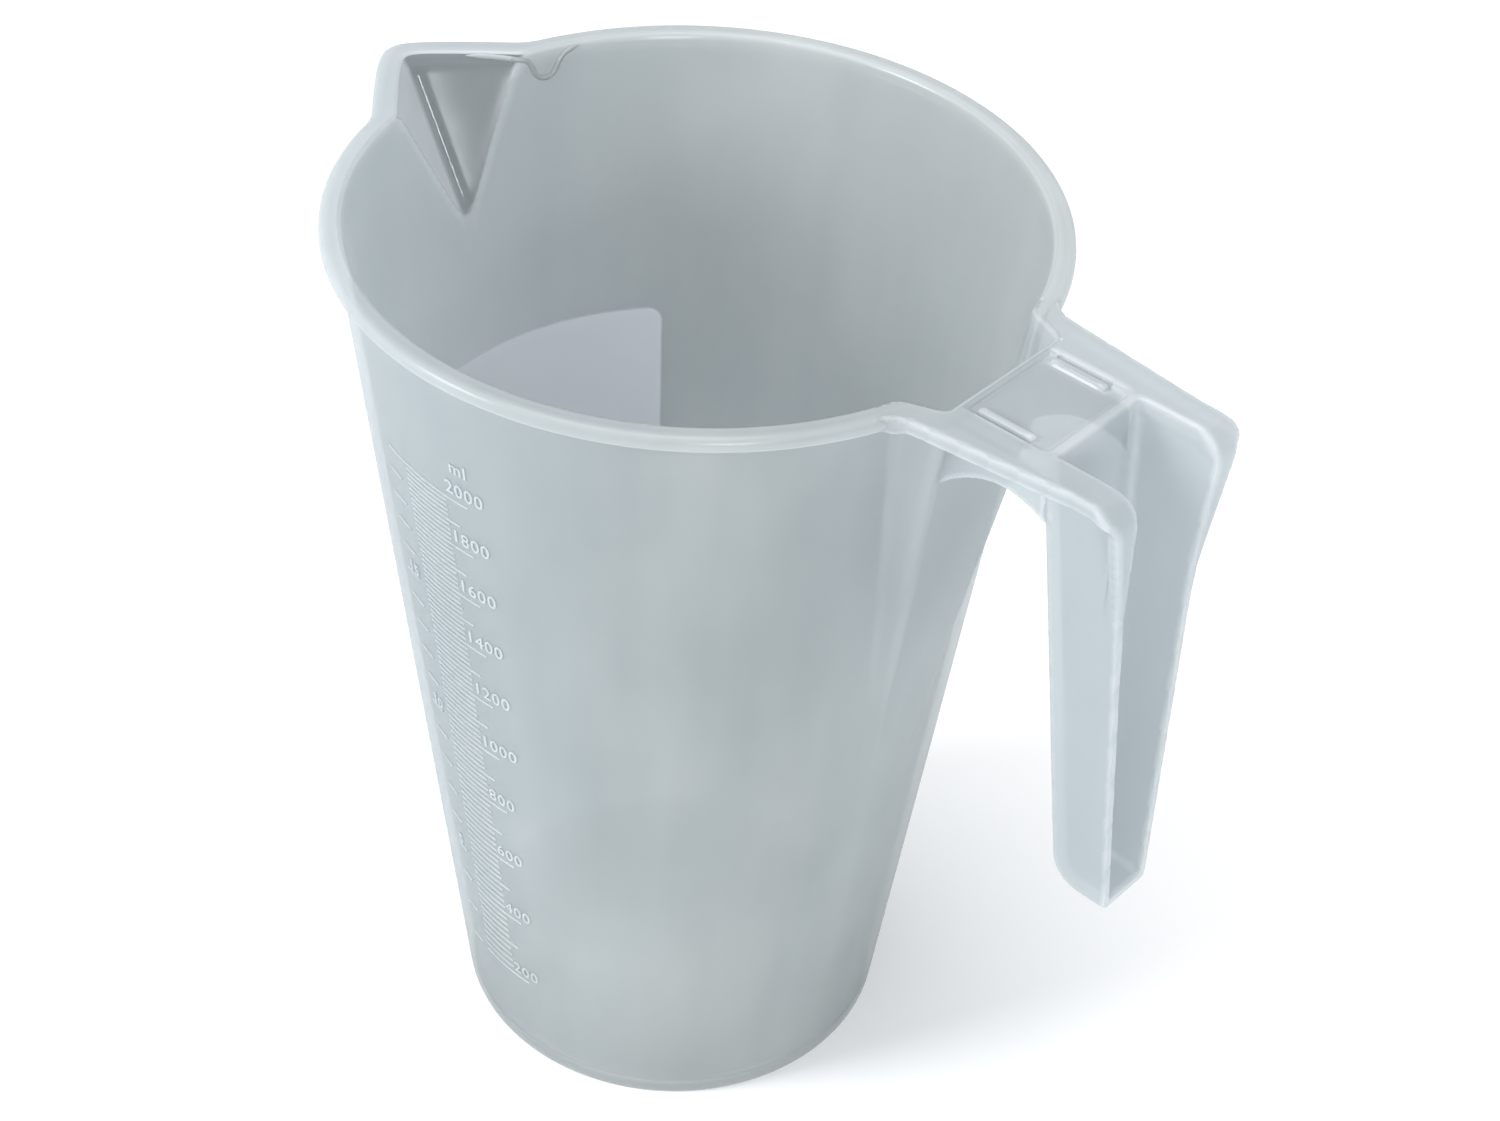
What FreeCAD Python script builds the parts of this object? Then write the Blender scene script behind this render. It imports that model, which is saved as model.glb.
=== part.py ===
"""Two litre polypropylene measuring jug, stackable type, open at the top.

Frame: the origin is the centre of the foot, on the jug's axis, with +Z up. The handle points
along +X and the pouring spout along -X. Sizes are in millimetres.

The jug is one moulding with a label on it. It is written here as the moulding's sections, each a
solid of its own, which meet face to face.
"""
import FreeCAD, Part
import math
import os

from FreeCAD import Vector

os.makedirs("parts", exist_ok=True)

# ---------------------------------------------------------------- driving dimensions
HEIGHT = 219.0            # foot plane to the top of the rim
BASE_RADIUS = 51.0        # outside of the wall, carried down to the foot plane
MOUTH_RADIUS = 75.2       # outside of the wall at the rim
WALL = 2.0

FOOT_HEIGHT = 1.5         # the floor stands this far above the foot plane
FOOT_WIDTH = 4.5
FOOT_ROUND = 1.0
FLOOR = 2.5

RIM_RADIUS = 78.0         # outside of the rim bead
BEAD_HEIGHT = 3.5
BEAD_ROUND = 1.2

SPOUT_TIP = 89.0          # inside of the spout's tip at the rim if it were sharp, from the axis
SPOUT_HALF_WIDTH = 17.1   # inside, where the spout leaves the round wall at the rim
SPOUT_DEPTH = 37.0        # rim down to the point where the valley meets the wall
SPOUT_VALLEY_ROUND = 2.5
SPOUT_TIP_ROUND = 5.0     # corner of the bead around the tip

BAY_BACK = 79.4           # inside of the flat back of the bay behind the handle, at the rim
BAY_HALF_WIDTH = 17.2     # half of that flat back
BAY_ROOT_X = 70.8         # where the bay's sides leave the round wall, inside, at the rim
BAY_ROOT_HALF_WIDTH = 20.6
BAY_FOOT_Z = 108.0        # the bay fades into the wall here
BAY_FOOT_HALF_WIDTH = 7.0

GRIP_BOTTOM_Z = 108.6
GRIP_HALF_WIDTH_TOP = 15.2
GRIP_HALF_WIDTH_BOTTOM = 7.1
GRIP_WALL = 1.8
WEB_X_TOP = 100.6         # jug side of the grip at the rim
WEB_X_BOTTOM = 112.2      # and at the bottom
WEB = 2.0
EDGE_X_TOP = 122.6        # open edge of the grip at the rim
EDGE_X_KINK = 121.8       # where the side flange has narrowed to nothing
EDGE_X_BOTTOM = 126.4
TOE = 2.2                 # thickness of the grip's closed bottom
TOE_ROUND = 6.0           # bottom corner on the jug side
TOE_HEIGHT = 9.0          # height of the section that closes the bottom

ARM_HALF_WIDTH_ROOT = 25.0
ARM_HALF_WIDTH_END = 20.8
ARM_ROOT_X = 74.0
ARM_CORNER = 3.2          # rounded top corner, seen from the side
SIDE_FLANGE_DEPTH = 3.3
SIDE_FLANGE_END_Z = 188.6
SIDE_FLANGE_TIP = 0.4     # size of the flange where it runs out

PLATE = 2.0
PLATE_DROP = 1.2          # bridge plate below the rim
SKIRT_Z_AT_JUG = 200.7    # lower edge of the skirts, an arch from the jug to the grip
SKIRT_Z_MID = 206.8
SKIRT_Z_AT_GRIP = 204.8
RIB_X_START = 83.0
RIB_X_END = 96.5
RIB_WIDTH = 2.0
RIB_HEIGHT = 1.0

TONGUE_DEG = 159.8        # U-shaped mark inside the rim, beside the spout
TONGUE_WIDTH = 8.0
TONGUE_BOTTOM_Z = 211.5
TONGUE_RELIEF = 0.5

RELIEF = 0.3              # how far the raised marks stand off the wall
TICK_WIDTH = 0.45
FINE_STEP_ML = 20
MIDDLE_STEP_ML = 100
LONG_STEP_ML = 200
LOWEST_ML = 200
FULL_ML = 2000
TICK_LEFT_DEG = -102.0    # the scale stands on the -Y side
FINE_RIGHT_DEG = -91.2
MIDDLE_RIGHT_DEG = -88.6
LONG_RIGHT_DEG = -86.2
TOP_LINE_LEFT_DEG = -107.6

DIGIT_HEIGHT = 3.4
DIGIT_WIDTH = 1.8
DIGIT_PITCH = 2.5
DIGIT_STROKE = 0.45
DIGIT_LIFT = 1.1          # foot of the digits above the middle of their line
NUMERAL_LEFT_DEG = -90.6

SECOND_STEP_ML = 100      # coarse scale in decilitres, left of the fine one
SECOND_LEFT_DEG = -109.0
SECOND_RIGHT_DEG = -104.6
SECOND_NUMERAL_STEP_ML = 500
SECOND_NUMERAL_LEFT_DEG = -107.9
ML_IN_DECILITRE = 100

LABEL_TOP_Z = 147.0
LABEL_HEIGHT = 60.0
LABEL_START_DEG = 139.0
LABEL_END_DEG = 210.0
LABEL_THICKNESS = 0.15

SLOPE = (MOUTH_RADIUS - BASE_RADIUS) / HEIGHT
LEVEL_WALL = WALL * math.sqrt(1.0 + SLOPE * SLOPE)    # wall thickness measured level
FLOOR_TOP = FOOT_HEIGHT + FLOOR
BEAD_Z = HEIGHT - BEAD_HEIGHT
PLATE_TOP = HEIGHT - PLATE_DROP
ABOVE = 4.0               # how far cutting shapes pass the surface that they cut
INSIDE_X = 40.0           # a place well inside the jug, where cutting shapes may end

SEGMENTS = {              # strokes of each digit: a top, b c right, d bottom, e f left, g middle
    "0": "abcdef", "1": "bc", "2": "abged", "3": "abgcd", "4": "fgbc",
    "5": "afgcd", "6": "afgecd", "7": "abc", "8": "abcdefg", "9": "abcdfg",
}


# ---------------------------------------------------------------- helpers
def outer_radius(z):
    return BASE_RADIUS + SLOPE * z


def inner_radius(z):
    return outer_radius(z) - LEVEL_WALL


def between(first, last, share):
    return first + (last - first) * share


def closed(points):
    return Part.makePolygon([Vector(*p) for p in points + points[:1]])


def revolved(points, start_deg=0.0, sweep_deg=360.0):
    """Turns a closed outline of (radius, z) points about the axis."""
    face = Part.Face(closed([(r, 0.0, z) for r, z in points]))
    face.rotate(Vector(0, 0, 0), Vector(0, 0, 1), start_deg)
    return face.revolve(Vector(0, 0, 0), Vector(0, 0, 1), sweep_deg)


def cone(offset, z_low, z_high):
    """Solid cone that follows the outside of the wall, moved outwards by offset."""
    return Part.makeCone(outer_radius(z_low) + offset, outer_radius(z_high) + offset,
                         z_high - z_low, Vector(0, 0, z_low))


def prism(points, z_low, z_high):
    """Upright prism on a plan outline of (x, y) points."""
    face = Part.Face(closed([(x, y, z_low) for x, y in points]))
    return face.extrude(Vector(0, 0, z_high - z_low))


def side_prism(points, y_low, y_high):
    """Prism across the jug, on a side outline of (x, z) points."""
    face = Part.Face(closed([(x, y_low, z) for x, z in points]))
    return face.extrude(Vector(0, y_high - y_low, 0))


def lofted(lower, z_low, upper, z_high):
    """Solid between two plan outlines with the same number of (x, y) points."""
    wires = [closed([(x, y, z) for x, y in points])
             for points, z in ((lower, z_low), (upper, z_high))]
    return Part.makeLoft(wires, True, True)


def both_sides(half):
    """A plan outline from the points of its +Y half, which are given from -X to +X."""
    return [(x, -y) for x, y in half] + [(x, y) for x, y in reversed(half)]


def mirrored(shape):
    return shape.mirror(Vector(0, 0, 0), Vector(0, 1, 0))


def rounded(shape, radius, wanted):
    """Rounds the edges whose middle point passes the test."""
    edges = [e for e in shape.Edges
             if wanted(e.valueAt((e.FirstParameter + e.LastParameter) / 2))]
    return shape.makeFillet(radius, edges)


def near(value, target, tolerance=0.05):
    return abs(value - target) < tolerance


def wall_patch(start_deg, end_deg, z_low, z_high, relief):
    """Raised patch on the outside of the wall."""
    outline = [
        (outer_radius(z_low), z_low),
        (outer_radius(z_low) + relief, z_low),
        (outer_radius(z_high) + relief, z_high),
        (outer_radius(z_high), z_high),
    ]
    return revolved(outline, start_deg, end_deg - start_deg)


def write(name, solids):
    shape = solids[0] if len(solids) == 1 else Part.makeCompound(solids)
    if not shape.isValid():
        raise RuntimeError(name + " is not valid")
    shape.exportStep("parts/" + name + ".step")
    box = shape.optimalBoundingBox(False)
    print("%-20s %3d solids %10.1f mm3   x %.1f to %.1f   y %.1f to %.1f   z %.1f to %.1f" % (
        name, len(shape.Solids), shape.Volume,
        box.XMin, box.XMax, box.YMin, box.YMax, box.ZMin, box.ZMax))


def one_solid(shape):
    """The largest solid of a boolean result, with its split faces joined."""
    shape = shape.removeSplitter()
    return max(shape.Solids, key=lambda s: s.Volume)


# ---------------------------------------------------------------- spout and bay envelopes
def spout_outline(z, push):
    """Plan triangle of the spout at a height, moved outwards by push along X."""
    share = (z - (HEIGHT - SPOUT_DEPTH)) / SPOUT_DEPTH
    tip = between(inner_radius(HEIGHT - SPOUT_DEPTH), SPOUT_TIP, share) + push
    back = INSIDE_X + push
    half_width = (tip - back) * SPOUT_SPREAD
    return [(-tip, 0.0), (-back, half_width), (-back, -half_width)]


def spout_solid(push, round_radius, z_low, z_high):
    solid = lofted(spout_outline(z_low, push), z_low, spout_outline(z_high, push), z_high)
    return rounded(solid, round_radius, lambda p: near(p.y, 0.0) and p.x < -INSIDE_X - push - 1.0
                   and z_low + 1.0 < p.z < z_high - 1.0)


def spout_push():
    """How far along X an outward step of one wall thickness moves the spout's faces."""
    across = Vector(1.0, SPOUT_SPREAD, 0.0)
    valley = Vector(-(SPOUT_TIP - inner_radius(HEIGHT - SPOUT_DEPTH)), 0.0, SPOUT_DEPTH)
    normal = across.cross(valley)
    return WALL * normal.Length / abs(normal.x)


def bay_solid(offset, z_high):
    """The bay behind the handle, outside its inner faces by offset."""
    top = both_sides([
        (INSIDE_X, BAY_ROOT_HALF_WIDTH + offset),
        (BAY_ROOT_X, BAY_ROOT_HALF_WIDTH + offset),
        (BAY_BACK + offset, BAY_HALF_WIDTH + offset),
    ])
    foot_x = inner_radius(BAY_FOOT_Z) - 0.2 + offset * 0.95
    foot = both_sides([
        (INSIDE_X, BAY_FOOT_HALF_WIDTH + 2.0 + offset),
        (foot_x - 1.2, BAY_FOOT_HALF_WIDTH + 2.0 + offset),
        (foot_x, BAY_FOOT_HALF_WIDTH + offset),
    ])
    solid = lofted(foot, BAY_FOOT_Z, top, HEIGHT)
    if z_high > HEIGHT:
        solid = solid.fuse(prism(top, HEIGHT, z_high))
    return solid


SPOUT_JOIN_X = math.sqrt(inner_radius(HEIGHT) ** 2 - SPOUT_HALF_WIDTH ** 2)
SPOUT_SPREAD = SPOUT_HALF_WIDTH / (SPOUT_TIP - SPOUT_JOIN_X)


# ---------------------------------------------------------------- jug body
def jug_wall(spout_outer, bay_outer):
    shell = cone(0.0, FOOT_HEIGHT, HEIGHT).cut(cone(-LEVEL_WALL, -ABOVE, HEIGHT + ABOVE))
    return one_solid(shell.cut(spout_outer).cut(bay_outer))


def base_floor():
    outline = [
        (0.0, FOOT_HEIGHT),
        (inner_radius(FOOT_HEIGHT), FOOT_HEIGHT),
        (inner_radius(FLOOR_TOP), FLOOR_TOP),
        (0.0, FLOOR_TOP),
    ]
    return revolved(outline)


def foot_ring():
    outer = outer_radius(0.0)
    ring = revolved([
        (outer - FOOT_WIDTH, 0.0), (outer, 0.0),
        (outer_radius(FOOT_HEIGHT), FOOT_HEIGHT), (outer - FOOT_WIDTH, FOOT_HEIGHT),
    ])
    return rounded(ring, FOOT_ROUND, lambda p: near(p.z, 0.0))


def pouring_spout(spout_outer, spout_inner, hollow):
    return one_solid(spout_outer.cut(spout_inner).cut(hollow))


def handle_bay(bay_outer, bay_inner, hollow):
    return one_solid(bay_outer.cut(bay_inner).cut(hollow))


def bead_around_spout():
    """Plan prism of the bead's outside around the spout."""
    offset = RIM_RADIUS - MOUTH_RADIUS
    tip = SPOUT_TIP + spout_push() + offset * math.hypot(1.0, SPOUT_SPREAD) / SPOUT_SPREAD
    half_width = (tip - INSIDE_X) * SPOUT_SPREAD
    outline = [(-tip, 0.0), (-INSIDE_X, half_width), (-INSIDE_X, -half_width)]
    solid = prism(outline, BEAD_Z, HEIGHT)
    reach = Part.makeCylinder(SPOUT_TIP + 2.0 * ABOVE, BEAD_HEIGHT, Vector(0, 0, BEAD_Z))
    solid = rounded(solid, SPOUT_TIP_ROUND, lambda p: near(p.x, -tip) and near(p.y, 0.0))
    return solid.common(reach)


def rim_bead(envelope, hollow, arms):
    ring = Part.makeCylinder(RIM_RADIUS, BEAD_HEIGHT, Vector(0, 0, BEAD_Z))
    ring = ring.fuse(bead_around_spout()).removeSplitter()
    ring = rounded(ring, BEAD_ROUND, lambda p: near(p.z, HEIGHT) or near(p.z, BEAD_Z))
    for piece in (envelope, hollow, *arms):
        ring = ring.cut(piece)
    return one_solid(ring)


def rim_tongue():
    """Thin U-shaped tab on the inside of the wall, just under the rim."""
    half = TONGUE_WIDTH / 2
    reach = RIM_RADIUS
    bar = Part.makeBox(reach, TONGUE_WIDTH, BEAD_Z + 1.5 - TONGUE_BOTTOM_Z - half,
                       Vector(0, -half, TONGUE_BOTTOM_Z + half))
    end = Part.makeCylinder(half, reach, Vector(0, 0, TONGUE_BOTTOM_Z + half), Vector(1, 0, 0))
    shape = bar.fuse(end)
    shape.rotate(Vector(0, 0, 0), Vector(0, 0, 1), TONGUE_DEG)
    layer = cone(-LEVEL_WALL, FLOOR_TOP, HEIGHT)
    layer = layer.cut(cone(-LEVEL_WALL - TONGUE_RELIEF, FLOOR_TOP - 1.0, HEIGHT + 1.0))
    return one_solid(shape.common(layer))


# ---------------------------------------------------------------- handle
def grip_share(z):
    """0 at the rim and 1 at the bottom of the grip."""
    return (HEIGHT - z) / (HEIGHT - GRIP_BOTTOM_Z)


def grip_half_width(z):
    return between(GRIP_HALF_WIDTH_TOP, GRIP_HALF_WIDTH_BOTTOM, grip_share(z))


def web_x(z):
    return between(WEB_X_TOP, WEB_X_BOTTOM, grip_share(z))


def grip_wedge(inset):
    """Everything between the grip's two slanting sides, moved in by inset."""
    z_low = GRIP_BOTTOM_Z - 2.0 * ABOVE
    z_high = HEIGHT + ABOVE
    outlines = []
    for z in (z_low, z_high):
        half = grip_half_width(z) - inset
        outlines.append(both_sides([(INSIDE_X, half), (2.0 * EDGE_X_BOTTOM, half)]))
    return lofted(outlines[0], z_low, outlines[1], z_high)


def grip_block():
    """The grip as if it had no channel."""
    outline = [
        (WEB_X_TOP, HEIGHT),
        (EDGE_X_TOP, HEIGHT),
        (EDGE_X_KINK, SIDE_FLANGE_END_Z),
        (EDGE_X_BOTTOM, GRIP_BOTTOM_Z),
        (WEB_X_BOTTOM, GRIP_BOTTOM_Z),
    ]
    block = side_prism(outline, -GRIP_HALF_WIDTH_TOP - ABOVE, GRIP_HALF_WIDTH_TOP + ABOVE)
    block = rounded(block, TOE_ROUND, lambda p: near(p.x, WEB_X_BOTTOM)
                    and near(p.z, GRIP_BOTTOM_Z))
    return block.common(grip_wedge(0.0))


def grip_channel():
    """The space inside the grip, open outwards and upwards."""
    z_low = GRIP_BOTTOM_Z + TOE
    z_high = HEIGHT + ABOVE
    far = EDGE_X_BOTTOM + ABOVE
    outline = [
        (web_x(z_high) + WEB, z_high), (far, z_high), (far, z_low), (web_x(z_low) + WEB, z_low),
    ]
    block = side_prism(outline, -GRIP_HALF_WIDTH_TOP - ABOVE, GRIP_HALF_WIDTH_TOP + ABOVE)
    block = rounded(block, TOE_ROUND - TOE, lambda p: near(p.x, web_x(z_low) + WEB)
                    and near(p.z, z_low))
    return block.common(grip_wedge(GRIP_WALL))


def slab(z_low, z_high):
    return Part.makeBox(4.0 * RIM_RADIUS, 4.0 * RIM_RADIUS, z_high - z_low,
                        Vector(-2.0 * RIM_RADIUS, -2.0 * RIM_RADIUS, z_low))


def handle_arm(envelope):
    """Flange along the top of one side, from the rim to the open edge of the grip."""
    inner = GRIP_HALF_WIDTH_TOP - GRIP_WALL
    outline = [
        (INSIDE_X, inner),
        (EDGE_X_TOP, inner),
        (EDGE_X_TOP, ARM_HALF_WIDTH_END),
        (ARM_ROOT_X, ARM_HALF_WIDTH_ROOT),
        (INSIDE_X, ARM_HALF_WIDTH_ROOT + ABOVE),
    ]
    arm = prism(outline, BEAD_Z, HEIGHT)
    arm = rounded(arm, ARM_CORNER, lambda p: near(p.x, EDGE_X_TOP) and near(p.z, HEIGHT))
    arm = arm.cut(envelope).cut(cone(0.0, FLOOR_TOP, HEIGHT + ABOVE))
    return one_solid(arm)


def handle_side_flange():
    """Flange down the open edge of one side, which narrows to nothing."""
    low = grip_half_width(SIDE_FLANGE_END_Z)
    high = grip_half_width(BEAD_Z)
    edge_top = between(EDGE_X_KINK, EDGE_X_TOP,
                       (BEAD_Z - SIDE_FLANGE_END_Z) / (HEIGHT - SIDE_FLANGE_END_Z))
    lower = [
        (EDGE_X_KINK - SIDE_FLANGE_TIP, low), (EDGE_X_KINK, low),
        (EDGE_X_KINK, low + SIDE_FLANGE_TIP), (EDGE_X_KINK - SIDE_FLANGE_TIP, low + SIDE_FLANGE_TIP),
    ]
    upper = [
        (edge_top - SIDE_FLANGE_DEPTH, high), (edge_top, high),
        (edge_top, ARM_HALF_WIDTH_END), (edge_top - SIDE_FLANGE_DEPTH, ARM_HALF_WIDTH_END),
    ]
    return lofted(lower, SIDE_FLANGE_END_Z, upper, BEAD_Z)


def handle_cheek(grip_shell):
    """One side of the grip, under the arm."""
    sides = grip_shell.cut(grip_wedge(GRIP_WALL)).common(slab(GRIP_BOTTOM_Z - ABOVE, BEAD_Z))
    return max(sides.Solids, key=lambda s: s.CenterOfMass.y)


def handle_web(grip_shell):
    core = grip_shell.common(grip_wedge(GRIP_WALL))
    return one_solid(core.common(slab(GRIP_BOTTOM_Z + TOE_HEIGHT, HEIGHT)))


def handle_toe(grip_shell):
    core = grip_shell.common(grip_wedge(GRIP_WALL))
    return one_solid(core.common(slab(GRIP_BOTTOM_Z - ABOVE, GRIP_BOTTOM_Z + TOE_HEIGHT)))


def bridge_plate(envelope, grip):
    half = GRIP_HALF_WIDTH_TOP - GRIP_WALL
    outline = both_sides([(INSIDE_X, half), (WEB_X_TOP + WEB, half)])
    plate = prism(outline, PLATE_TOP - PLATE, PLATE_TOP)
    return one_solid(plate.cut(envelope).cut(grip).cut(cone(0.0, FLOOR_TOP, HEIGHT)))


def bridge_skirt(envelope, grip):
    """Wall under one arm, from the bay to the grip, with an arched lower edge."""
    inner = GRIP_HALF_WIDTH_TOP - GRIP_WALL
    jug_x = BAY_BACK
    grip_x = web_x(SKIRT_Z_AT_GRIP)
    ends = [(jug_x, SKIRT_Z_AT_JUG), (grip_x, SKIRT_Z_AT_GRIP)]
    start, stop = [Vector(x, inner, z) for x, z in ends]
    middle = Vector((jug_x + grip_x) / 2, inner, SKIRT_Z_MID)
    corners = [stop, Vector(grip_x + WEB, inner, SKIRT_Z_AT_GRIP),
               Vector(grip_x + WEB, inner, BEAD_Z), Vector(INSIDE_X, inner, BEAD_Z),
               Vector(INSIDE_X, inner, SKIRT_Z_AT_JUG), start]
    edges = [Part.Arc(start, middle, stop).toShape()]
    edges += [Part.LineSegment(a, b).toShape() for a, b in zip(corners, corners[1:])]
    skirt = Part.Face(Part.Wire(edges)).extrude(Vector(0, GRIP_WALL, 0))
    return one_solid(skirt.cut(envelope).cut(grip).cut(cone(0.0, FLOOR_TOP, HEIGHT)))


def stacking_ribs():
    """Two low bars on the bridge plate, one beside each arm."""
    inner = GRIP_HALF_WIDTH_TOP - GRIP_WALL
    rib = Part.makeBox(RIB_X_END - RIB_X_START, RIB_WIDTH, RIB_HEIGHT,
                       Vector(RIB_X_START, inner - RIB_WIDTH, PLATE_TOP))
    return [rib, mirrored(rib)]


# ---------------------------------------------------------------- scale and label
def filled_ml(z):
    """Contents up to a height, from the inside of the plain round wall."""
    low = inner_radius(FLOOR_TOP)
    high = inner_radius(z)
    return math.pi / 3 * (z - FLOOR_TOP) * (low * low + low * high + high * high) / 1000


def level_of(millilitres):
    low, high = FLOOR_TOP, HEIGHT
    while high - low > 1e-6:
        middle = (low + high) / 2
        if filled_ml(middle) < millilitres:
            low = middle
        else:
            high = middle
    return low


def graduation_lines():
    lines = []
    for millilitres in range(LOWEST_ML, FULL_ML + 1, FINE_STEP_ML):
        right = FINE_RIGHT_DEG
        if millilitres % MIDDLE_STEP_ML == 0:
            right = MIDDLE_RIGHT_DEG
        if millilitres % LONG_STEP_ML == 0:
            right = LONG_RIGHT_DEG
        left = TOP_LINE_LEFT_DEG if millilitres == FULL_ML else TICK_LEFT_DEG
        z = level_of(millilitres)
        lines.append(wall_patch(left, right, z - TICK_WIDTH / 2, z + TICK_WIDTH / 2, RELIEF))
    return lines


def digit(character, left_mm, start_deg, z):
    """One raised digit, as strokes on the wall, left_mm to the right of start_deg."""
    width, height, stroke = DIGIT_WIDTH, DIGIT_HEIGHT, DIGIT_STROKE
    middle = height / 2
    strokes = {
        "a": (0.0, width, height - stroke, height),
        "b": (width - stroke, width, middle, height),
        "c": (width - stroke, width, 0.0, middle),
        "d": (0.0, width, 0.0, stroke),
        "e": (0.0, stroke, 0.0, middle),
        "f": (0.0, stroke, middle, height),
        "g": (0.0, width, middle - stroke / 2, middle + stroke / 2),
    }
    degrees_per_mm = math.degrees(1.0 / outer_radius(z))
    patches = []
    for name in SEGMENTS[character]:
        left, right, low, high = strokes[name]
        patches.append(wall_patch(
            start_deg + (left_mm + left) * degrees_per_mm,
            start_deg + (left_mm + right) * degrees_per_mm,
            z + low, z + high, RELIEF))
    return one_solid(patches[0].multiFuse(patches[1:]))


def number(text, start_deg, z):
    return [digit(character, place * DIGIT_PITCH, start_deg, z)
            for place, character in enumerate(text)]


def graduation_numerals():
    digits = []
    for millilitres in range(LONG_STEP_ML, FULL_ML + 1, LONG_STEP_ML):
        digits += number(str(millilitres), NUMERAL_LEFT_DEG, level_of(millilitres) + DIGIT_LIFT)
    return digits


def second_scale():
    marks = []
    for millilitres in range(LOWEST_ML, FULL_ML, SECOND_STEP_ML):
        z = level_of(millilitres)
        marks.append(wall_patch(SECOND_LEFT_DEG, SECOND_RIGHT_DEG,
                                z - TICK_WIDTH / 2, z + TICK_WIDTH / 2, RELIEF))
        if millilitres % SECOND_NUMERAL_STEP_ML == 0:
            text = str(millilitres // ML_IN_DECILITRE)
            marks += number(text, SECOND_NUMERAL_LEFT_DEG, z + DIGIT_LIFT)
    return marks


def label():
    return wall_patch(LABEL_START_DEG, LABEL_END_DEG, LABEL_TOP_Z - LABEL_HEIGHT, LABEL_TOP_Z,
                      LABEL_THICKNESS)


# ---------------------------------------------------------------- assembly
def main():
    hollow = cone(-LEVEL_WALL, FLOOR_TOP, HEIGHT + ABOVE)
    spout_top = HEIGHT - SPOUT_DEPTH
    spout_inner = spout_solid(0.0, SPOUT_VALLEY_ROUND, spout_top, HEIGHT + ABOVE)
    spout_outer = spout_solid(spout_push(), SPOUT_VALLEY_ROUND + WALL,
                              spout_top - 2.0 * ABOVE, HEIGHT)
    bay_inner = bay_solid(0.0, HEIGHT + ABOVE)
    bay_outer = bay_solid(WALL, HEIGHT)
    envelope = cone(0.0, FLOOR_TOP, HEIGHT).fuse(spout_outer).fuse(bay_outer)
    inside = hollow.fuse(spout_inner).fuse(bay_inner)

    grip = grip_block()
    grip_shell = grip.cut(grip_channel())
    arm = handle_arm(envelope)
    flange = handle_side_flange()
    cheek = handle_cheek(grip_shell)
    skirt = bridge_skirt(envelope, grip)

    write("jug_wall", [jug_wall(spout_outer, bay_outer)])
    write("base_floor", [base_floor()])
    write("foot_ring", [foot_ring()])
    write("pouring_spout", [pouring_spout(spout_outer, spout_inner, hollow)])
    write("handle_bay", [handle_bay(bay_outer, bay_inner, hollow)])
    write("rim_bead", [rim_bead(envelope, inside, (arm, mirrored(arm)))])
    write("rim_tongue", [rim_tongue()])
    for side, place in (("left", lambda s: s), ("right", mirrored)):
        write("handle_arm_" + side, [place(arm)])
        write("side_flange_" + side, [place(flange)])
        write("handle_cheek_" + side, [place(cheek)])
        write("bridge_skirt_" + side, [place(skirt)])
    write("handle_web", [handle_web(grip_shell)])
    write("handle_toe", [handle_toe(grip_shell)])
    write("bridge_plate", [bridge_plate(envelope, grip)])
    write("stacking_ribs", stacking_ribs())
    write("graduation_lines", graduation_lines())
    write("graduation_numerals", graduation_numerals())
    write("second_scale", second_scale())
    write("label", [label()])
    print("full line at z = %.1f" % level_of(FULL_ML))


main()
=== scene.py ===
"""Studio scene of a two litre measuring jug in natural polypropylene.

The jug's surfaces are made from its real sections, in millimetres, and written in metres. The
moulding is one closed mesh; the raised scale, the tab inside the rim and the label are their own.
"""
import math

import bpy
import numpy as np
from mathutils import Matrix, Vector


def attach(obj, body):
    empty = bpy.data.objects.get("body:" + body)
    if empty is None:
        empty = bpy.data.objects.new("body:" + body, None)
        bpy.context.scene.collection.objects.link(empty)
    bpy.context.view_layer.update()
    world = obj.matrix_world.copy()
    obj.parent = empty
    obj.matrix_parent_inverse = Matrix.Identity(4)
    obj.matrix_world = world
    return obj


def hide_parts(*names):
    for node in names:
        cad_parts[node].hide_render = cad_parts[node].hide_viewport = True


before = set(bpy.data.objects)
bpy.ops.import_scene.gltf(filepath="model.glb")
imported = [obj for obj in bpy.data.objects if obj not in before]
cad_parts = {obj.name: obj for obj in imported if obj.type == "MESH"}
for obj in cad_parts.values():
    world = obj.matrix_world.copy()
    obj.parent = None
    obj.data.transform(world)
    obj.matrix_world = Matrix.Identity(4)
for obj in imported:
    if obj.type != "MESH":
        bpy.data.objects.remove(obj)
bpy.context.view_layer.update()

MM = 0.001

# ---------------------------------------------------------------- sizes, in millimetres
HEIGHT = 219.0
BASE_RADIUS = 51.0
MOUTH_RADIUS = 75.2
WALL = 2.0
FLOOR_TOP = 4.0
SLOPE = (MOUTH_RADIUS - BASE_RADIUS) / HEIGHT
LEVEL_WALL = WALL * math.hypot(1.0, SLOPE)

RIM_RADIUS = 78.0
BEAD_Z = 215.5

SPOUT_FOOT_Z = 182.0
SPOUT_TIP = 89.0             # if it were sharp
SPOUT_SPREAD = 0.959         # half width over length, from the tip
SPOUT_PUSH = 3.14            # wall of the spout, measured along X

BAY_FOOT_Z = 108.0
BAY_FOOT = (57.7, 9.0, 60.8, 7.0)        # root x, root half width, back x, back half width
BAY_TOP = (70.8, 20.6, 79.4, 17.2)

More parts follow.
